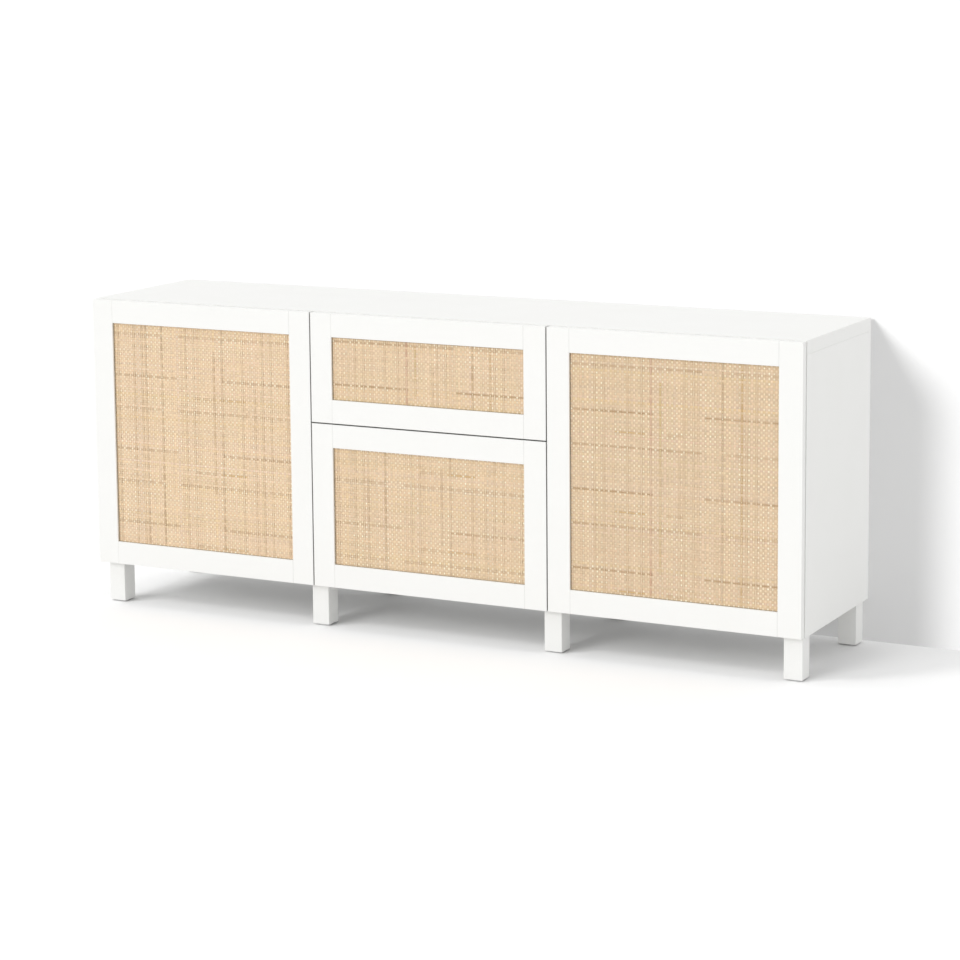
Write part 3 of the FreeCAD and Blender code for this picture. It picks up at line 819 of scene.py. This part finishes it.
@dataclass
class Carcass:
    """The cabinet's body: boards, dividers, backs, shelves and legs."""

    lying: list[str] = field(default_factory=lambda: ["top_board", "bottom_board"])
    standing: list[str] = field(default_factory=lambda: [
        "left_side_panel", "right_side_panel", "left_divider", "right_divider", "legs"])
    shelves: list[str] = field(default_factory=lambda: ["left_shelf", "right_shelf"])
    backs: list[str] = field(default_factory=lambda: [
        "left_back_panel", "centre_back_panel", "right_back_panel"])

    def dress(self) -> None:
        """Lacquers the boards and legs and faces the back panels."""
        Lacquer("lacquer_lying", Grain.ACROSS).on(self.lying + self.shelves)
        Lacquer("lacquer_standing", Grain.UPRIGHT).on(self.standing)
        Board("white_back_board", srgb(243, 243, 240), srgb(236, 236, 232)).on(self.backs)


@dataclass
class Fittings:
    """The small parts of metal and plastic that carry, slide, latch and level the cabinet."""

    metal: list[str] = field(default_factory=lambda: [
        "shelf_pins", "leg_bolts", "hinge_plates", "hinge_arms", "cabinet_slides", "wall_brackets",
        "left_hinge_links", "right_hinge_links", "left_door_hinge_cups", "right_door_hinge_cups",
        "top_drawer_slides", "bottom_drawer_slides", "top_middle_slides", "bottom_middle_slides"])
    plastic: list[str] = field(default_factory=lambda: [
        "leg_glides", "latch_housings", "left_door_plunger", "right_door_plunger",
        "top_drawer_plunger", "bottom_drawer_plunger"])

    def dress(self) -> None:
        """Plates the metal and moulds the plastic."""
        ZincSteel().on(self.metal)
        MouldedPlastic().on(self.plastic)


@dataclass
class Front:
    """One door's or drawer's front: a lacquered frame round a woven panel on a backing board."""

    stiles: list[str]
    rails: list[str]
    backing: str
    weave: Weave
    welt_front: float = -205.4 * MM
    welt_width: float = 0.55 * MM
    welt_depth: float = 1.8 * MM
    welt_rounding: float = 0.3

    def dress(self) -> None:
        """Lacquers the frame along its members and leaves the backing raw."""
        # front=True paints shade onto the frame's faces that meet across the gaps
        Lacquer("lacquer_stiles", Grain.UPRIGHT, front=True).on(self.stiles)
        Lacquer("lacquer_rails", Grain.ACROSS, front=True).on(self.rails)
        Board("raw_backing", srgb(232, 200, 160), srgb(216, 184, 142), roughness=0.7,
              fleck_scale=500.0).on([self.backing])

    def build(self) -> None:
        """Weaves the panel and edges it with its welt, a dark strip that stands for the shade in the
        recess round the panel.
        """
        self.weave.build()
        welt = self._shaded_welt()
        # painted shade: the welt's dark brown stands for the shadow line in the recess round the
        # weave
        fibre = Board("shaded_welt_fibre", srgb(134, 119, 90), srgb(116, 101, 74), roughness=0.7,
                      fleck_scale=700.0)
        welt.data.materials.append(fibre.material())
        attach(welt, self.weave.body)
        log.info("%s: welt", welt.name)

    def _shaded_welt(self) -> bpy.types.Object:
        """The thin welt that holds the weave's edges, a rounded strip all round the opening,
        darkened as painted shade for the recess round the panel.

        Returns:
            The new object.
        """
        weave = self.weave
        middle = ((weave.left + weave.right) / 2, self.welt_front, (weave.bottom + weave.top) / 2)
        size = ((weave.right - weave.left) / 2, (weave.top - weave.bottom) / 2, 1, 1)
        mesh = bmesh.new()
        stand = Matrix.Translation(middle) @ Matrix.Rotation(math.pi / 2, 4, "X")
        bmesh.ops.create_grid(mesh, x_segments=1, y_segments=1, size=1,
                              matrix=stand @ Matrix.Diagonal(size))
        opening = mesh.faces[:]
        bmesh.ops.inset_region(mesh, faces=opening, thickness=self.welt_width,
                               use_even_offset=True, use_boundary=True)
        bmesh.ops.delete(mesh, geom=opening, context="FACES")
        back = bmesh.ops.extrude_face_region(mesh, geom=mesh.faces[:])["geom"]
        verts = [part for part in back if isinstance(part, bmesh.types.BMVert)]
        bmesh.ops.translate(mesh, vec=(0, self.welt_depth, 0), verts=verts)
        bmesh.ops.recalc_face_normals(mesh, faces=mesh.faces[:])
        bmesh.ops.bevel(mesh, geom=mesh.edges[:], offset=self.welt_width * self.welt_rounding,
                        offset_type="OFFSET", affect="EDGES", segments=2, profile=0.5, material=-1)
        data = bpy.data.meshes.new(f"{weave.body}_shaded_welt")
        mesh.to_mesh(data)
        mesh.free()
        made = bpy.data.objects.new(data.name, data)
        bpy.context.scene.collection.objects.link(made)
        return made


@dataclass
class DrawerBox:
    """The box behind a drawer's front."""

    drawer: str
    parts: tuple[str, ...] = ("box_sides", "box_back", "inner_front", "box_bottom")

    def dress(self) -> None:
        """Faces the box with white board."""
        names = [f"{self.drawer}_{part}" for part in self.parts]
        Board("white_drawer_board", srgb(245, 245, 242), srgb(239, 239, 235),
              roughness=0.5).on(names)


def shifted(floats: list[Float], by: int) -> list[Float]:
    """The same strands, counted from a different first one."""
    return [replace(strand, strand=strand.strand + by) for strand in floats]


def repeated(floats: list[Float], pitch: int = 32,
             repeats: range = range(-1, 3)) -> list[Float]:
    """The same strands in each repeat of the pattern, from the one before the opening's edge."""
    return [strand for repeat in repeats for strand in shifted(floats, repeat * pitch)]


def left_floats() -> tuple[list[Float], list[Float]]:
    """The darker warps of the left door and the lower drawer, and their darker wefts."""
    warps = [Float(1, FAINT), Float(9, FAINT), Float(13, FAINT), Float(15, TAN), Float(23, BROWN),
             Float(35, FAINT), Float(39, FAINT), Float(49, TAN, 0.1, 0.75), Float(53, TAN),
             Float(63, FAINT), Float(69, FAINT, 0.25, 1.0), Float(73, FAINT), Float(77, FAINT),
             Float(85, FAINT), Float(33, PALE, dashes=False), Float(41, PALE, dashes=False)]
    wefts = [Float(21, SAND, 0.0, 0.36), Float(21, TAN, 0.61, 1.0), Float(29, STRAW, 0.46, 0.57),
             Float(29, OCHRE, 0.6, 0.75), Float(35, FAINT, 0.36, 1.0), Float(35, STRAW, 0.0, 0.28)]
    return warps, repeated(wefts)


def right_floats() -> tuple[list[Float], list[Float]]:
    """The darker warps of the right door and the upper drawer, and their darker wefts."""
    warps = [Float(3, PALE, dashes=False), Float(9, FAINT), Float(13, FAINT),
             Float(17, PALE, dashes=False), Float(23, FAINT), Float(29, FAINT), Float(33, RUST),
             Float(37, GOLD, 0.1, 0.9), Float(45, FAINT, 0.4, 1.0), Float(47, FAINT),
             Float(51, FAINT), Float(53, PALE, dashes=False), Float(63, UMBER),
             Float(71, AMBER), Float(73, FAINT), Float(77, FAINT)]
    wefts = [Float(21, UMBER, 0.0, 0.4), Float(21, UMBER, 0.65, 1.0), Float(29, OCHRE, 0.22, 0.37),
             Float(29, FAINT, 0.47, 0.55), Float(35, TAN, 0.0, 0.64), Float(35, FAINT, 0.75, 1.0)]
    return warps, repeated(wefts)


def fronts() -> list[Front]:
    """The cabinet's four fronts, with the lie of their weaves."""
    door = (("hinge_stile", "free_stile"), ("top_rail", "bottom_rail"))
    drawer = (("stiles",), ("rails",))
    left_warps, left_wefts = left_floats()
    right_warps, right_wefts = right_floats()
    made = []
    for name, members, across, down, warps, wefts, seed, tone in (
            ("left_door", door, 5.5, 7.2, left_warps, left_wefts, 3, 1.03),
            ("right_door", door, 8.4, 7.2, right_warps, right_wefts, 5, 0.94),
            ("top_drawer", drawer, 8.4, 3.9, right_warps, shifted(right_wefts, -2), 7, 0.995),
            ("bottom_drawer", drawer, 5.5, 1.9, left_warps, shifted(left_wefts, 10), 9, 0.985)):
        stiles, rails = ([f"{name}_{part}" for part in parts] for parts in members)
        weave = Weave(f"{name}_woven_panel", name, across * MM, down * MM, warps, wefts, seed, tone)
        made.append(Front(stiles, rails, f"{name}_backing", weave))
    return made


# ---- studio ----

class Lights(Enum):
    """Whether a lamp lights only some objects, or everything but them."""

    ONLY = "INCLUDE"
    ALL_BUT = "EXCLUDE"


@dataclass(frozen=True)
class Lamp:
    """A large soft lamp, far off.

    Its level is the brightness that it gives to a white surface facing it, 1 for a full white. Its
    yaw is in degrees to the left of the front, its height in degrees above the floor, and its
    spread the angle that it fills.
    """

    name: str
    level: float
    yaw: float
    height: float
    spread: float

    def hang(self, lights: Lights, objects: tuple[bpy.types.Object, ...]) -> None:
        """Adds the lamp to the scene.

        Args:
            lights: whether it lights only the objects, or everything but them.
            objects: parts of the stage.
        """
        group = bpy.data.collections.new(f"{self.name}_group")
        for made in objects:
            group.objects.link(made)
        for member in group.collection_objects:
            member.light_linking.link_state = lights.value
        yaw, height = math.radians(self.yaw), math.radians(self.height)
        away = Vector((-math.sin(yaw) * math.cos(height), -math.cos(yaw) * math.cos(height),
                       math.sin(height)))
        lamp = bpy.data.lights.new(self.name, "SUN")
        lamp.angle = math.radians(self.spread)
        lamp.energy = self.level * math.pi
        hung = bpy.data.objects.new(self.name, lamp)
        hung.rotation_euler = away.to_track_quat("Z", "Y").to_euler()
        bpy.context.scene.collection.objects.link(hung)
        hung.light_linking.receiver_collection = group


@dataclass
class Studio:
    """A pale floor, a wall close behind the cabinet, soft light and the camera.

    The key lights the cabinet alone. The wall and the floor have lamps of their own, so that each
    shadow keeps its own depth and edge.
    """

    camera_at: tuple[float, float, float] = (2.9207, -5.5909, 1.5609)
    yaw: float = 26.742
    pitch: float = 8.0085
    roll: float = -0.4168
    focal: float = 2763.8
    shift: tuple[float, float] = (-0.03, -0.15)
    image_width: int = 960
    sensor: float = 36.0
    reach: float = 30.0
    wall_at: float = 0.2215
    sky: float = 0.92
    key: Lamp = Lamp("key", 0.222, 21.3, 22.0, 17.0)
    wall_key: Lamp = Lamp("wall_key", 0.78, 21.3, 22.0, 14.0)
    floor_key: Lamp = Lamp("floor_key", 0.44, 18.0, 22.0, 26.0)
    floor_side: Lamp = Lamp("floor_side", 0.33, 45.0, 37.0, 15.0)
    floor_top: Lamp = Lamp("floor_top", 0.09, 75.0, 68.0, 16.0)
    floor_seen: Colour = grey(0.786)
    floor_lit: Colour = grey(0.6)
    wall_grey: Colour = grey(0.55)
    wall_lift: float = 0.19

    def build(self) -> None:
        """Builds the stage, the lamps, the surroundings and the camera."""
        floor, wall = self._floor(), self._wall()
        self.key.hang(Lights.ALL_BUT, (floor, wall))
        self.wall_key.hang(Lights.ONLY, (wall,))
        for lamp in (self.floor_key, self.floor_side, self.floor_top):
            lamp.hang(Lights.ONLY, (floor,))
        for made in (floor, wall):
            log.info("%s: stage", made.name)
        self._world()
        self._camera()
        bpy.context.scene.view_settings.view_transform = "Standard"

    @staticmethod
    def _plane(name: str, size: float, matrix: Matrix,
               material: bpy.types.Material) -> bpy.types.Object:
        """Makes a square of the stage.

        Args:
            name: its name.
            size: half its side, in metres.
            matrix: where it is.
            material: its finish.

        Returns:
            The square.
        """
        mesh = bmesh.new()
        bmesh.ops.create_grid(mesh, x_segments=1, y_segments=1, size=size, matrix=matrix)
        data = bpy.data.meshes.new(name)
        mesh.to_mesh(data)
        mesh.free()
        data.materials.append(material)
        made = bpy.data.objects.new(name, data)
        bpy.context.scene.collection.objects.link(made)
        return made

    def _floor(self) -> bpy.types.Object:
        """The floor, a paler grey to the camera than to the light that it sends to the cabinet."""
        sheet = Sheet("stage_floor")
        seen = sheet.node("ShaderNodeLightPath", take="Is Camera Ray")
        plain = sheet.node("ShaderNodeBsdfDiffuse", None, {"Color": self.floor_lit})
        white = sheet.node("ShaderNodeBsdfDiffuse", None, {"Color": self.floor_seen})
        sheet.feed(sheet.output.inputs["Surface"],
                   sheet.node("ShaderNodeMixShader", None, {0: seen, 1: plain, 2: white}))
        return self._plane("stage_floor", self.reach, Matrix.Identity(4), sheet.material)

    def _wall(self) -> bpy.types.Object:
        """The wall, which only the camera sees and only from the front."""
        sheet = Sheet("stage_wall")
        seen = sheet.node("ShaderNodeLightPath", take="Is Camera Ray")
        behind = sheet.node("ShaderNodeNewGeometry", take="Backfacing")
        clear = sheet.node("ShaderNodeBsdfTransparent")
        lit = sheet.node("ShaderNodeBsdfDiffuse", None, {"Color": self.wall_grey})
        sockets = {"Color": grey(1.0), "Strength": self.wall_lift}
        lift = sheet.node("ShaderNodeEmission", None, sockets)
        white = sheet.node("ShaderNodeAddShader", None, {0: lit, 1: lift})
        shown = seen * (1.0 - behind)
        sheet.feed(sheet.output.inputs["Surface"],
                   sheet.node("ShaderNodeMixShader", None, {0: shown, 1: clear, 2: white}))
        stand = (Matrix.Translation((0, self.wall_at, self.reach))
                 @ Matrix.Rotation(math.pi / 2, 4, "X"))
        return self._plane("stage_wall", self.reach, stand, sheet.material)

    def _world(self) -> None:
        """The soft light from all round, behind which the camera sees plain white."""
        world = bpy.data.worlds.new("surroundings")
        bpy.context.scene.world = world
        world.use_nodes = True
        nodes, links = world.node_tree.nodes, world.node_tree.links
        nodes.clear()
        path = nodes.new("ShaderNodeLightPath")
        direct = nodes.new("ShaderNodeMath")
        direct.operation = "MAXIMUM"
        mirrored = nodes.new("ShaderNodeMath")
        mirrored.operation = "MAXIMUM"
        links.new(path.outputs["Is Camera Ray"], direct.inputs[0])
        links.new(path.outputs["Is Glossy Ray"], direct.inputs[1])
        links.new(direct.outputs[0], mirrored.inputs[0])
        links.new(path.outputs["Is Transmission Ray"], mirrored.inputs[1])
        strength = nodes.new("ShaderNodeMapRange")
        strength.inputs["To Min"].default_value = self.sky
        strength.inputs["To Max"].default_value = 1.0
        links.new(mirrored.outputs[0], strength.inputs["Value"])
        back = nodes.new("ShaderNodeBackground")
        back.inputs["Color"].default_value = grey(1.0)
        links.new(strength.outputs[0], back.inputs["Strength"])
        links.new(back.outputs[0], nodes.new("ShaderNodeOutputWorld").inputs["Surface"])

    def _camera(self) -> None:
        """The camera, turned to the left and down, with a slight roll and shift."""
        yaw, pitch, roll = (math.radians(angle) for angle in (self.yaw, self.pitch, self.roll))
        ahead = Vector((-math.sin(yaw) * math.cos(pitch), math.cos(yaw) * math.cos(pitch),
                        -math.sin(pitch)))
        right = Vector((math.cos(yaw), math.sin(yaw), 0))
        up = right.cross(ahead)
        level_right, level_up = right.copy(), up.copy()
        right = math.cos(roll) * level_right + math.sin(roll) * level_up
        up = math.cos(roll) * level_up - math.sin(roll) * level_right
        camera = bpy.data.cameras.new("camera")
        camera.sensor_width = self.sensor
        camera.lens = self.focal / self.image_width * self.sensor
        camera.shift_x, camera.shift_y = self.shift
        made = bpy.data.objects.new("camera", camera)
        turn = Matrix((right, up, -ahead)).transposed().to_4x4()
        made.matrix_world = Matrix.Translation(self.camera_at) @ turn
        bpy.context.scene.collection.objects.link(made)
        bpy.context.scene.camera = made


def main() -> None:
    """Builds the studio and the cabinet's sub-assemblies."""
    logging.basicConfig(level=logging.INFO, format="%(message)s")
    Studio().build()
    Carcass().dress()
    Fittings().dress()
    for drawer in ("top_drawer", "bottom_drawer"):
        DrawerBox(drawer).dress()
    for front in fronts():
        front.dress()
        front.build()


if __name__ == "__main__":
    main()
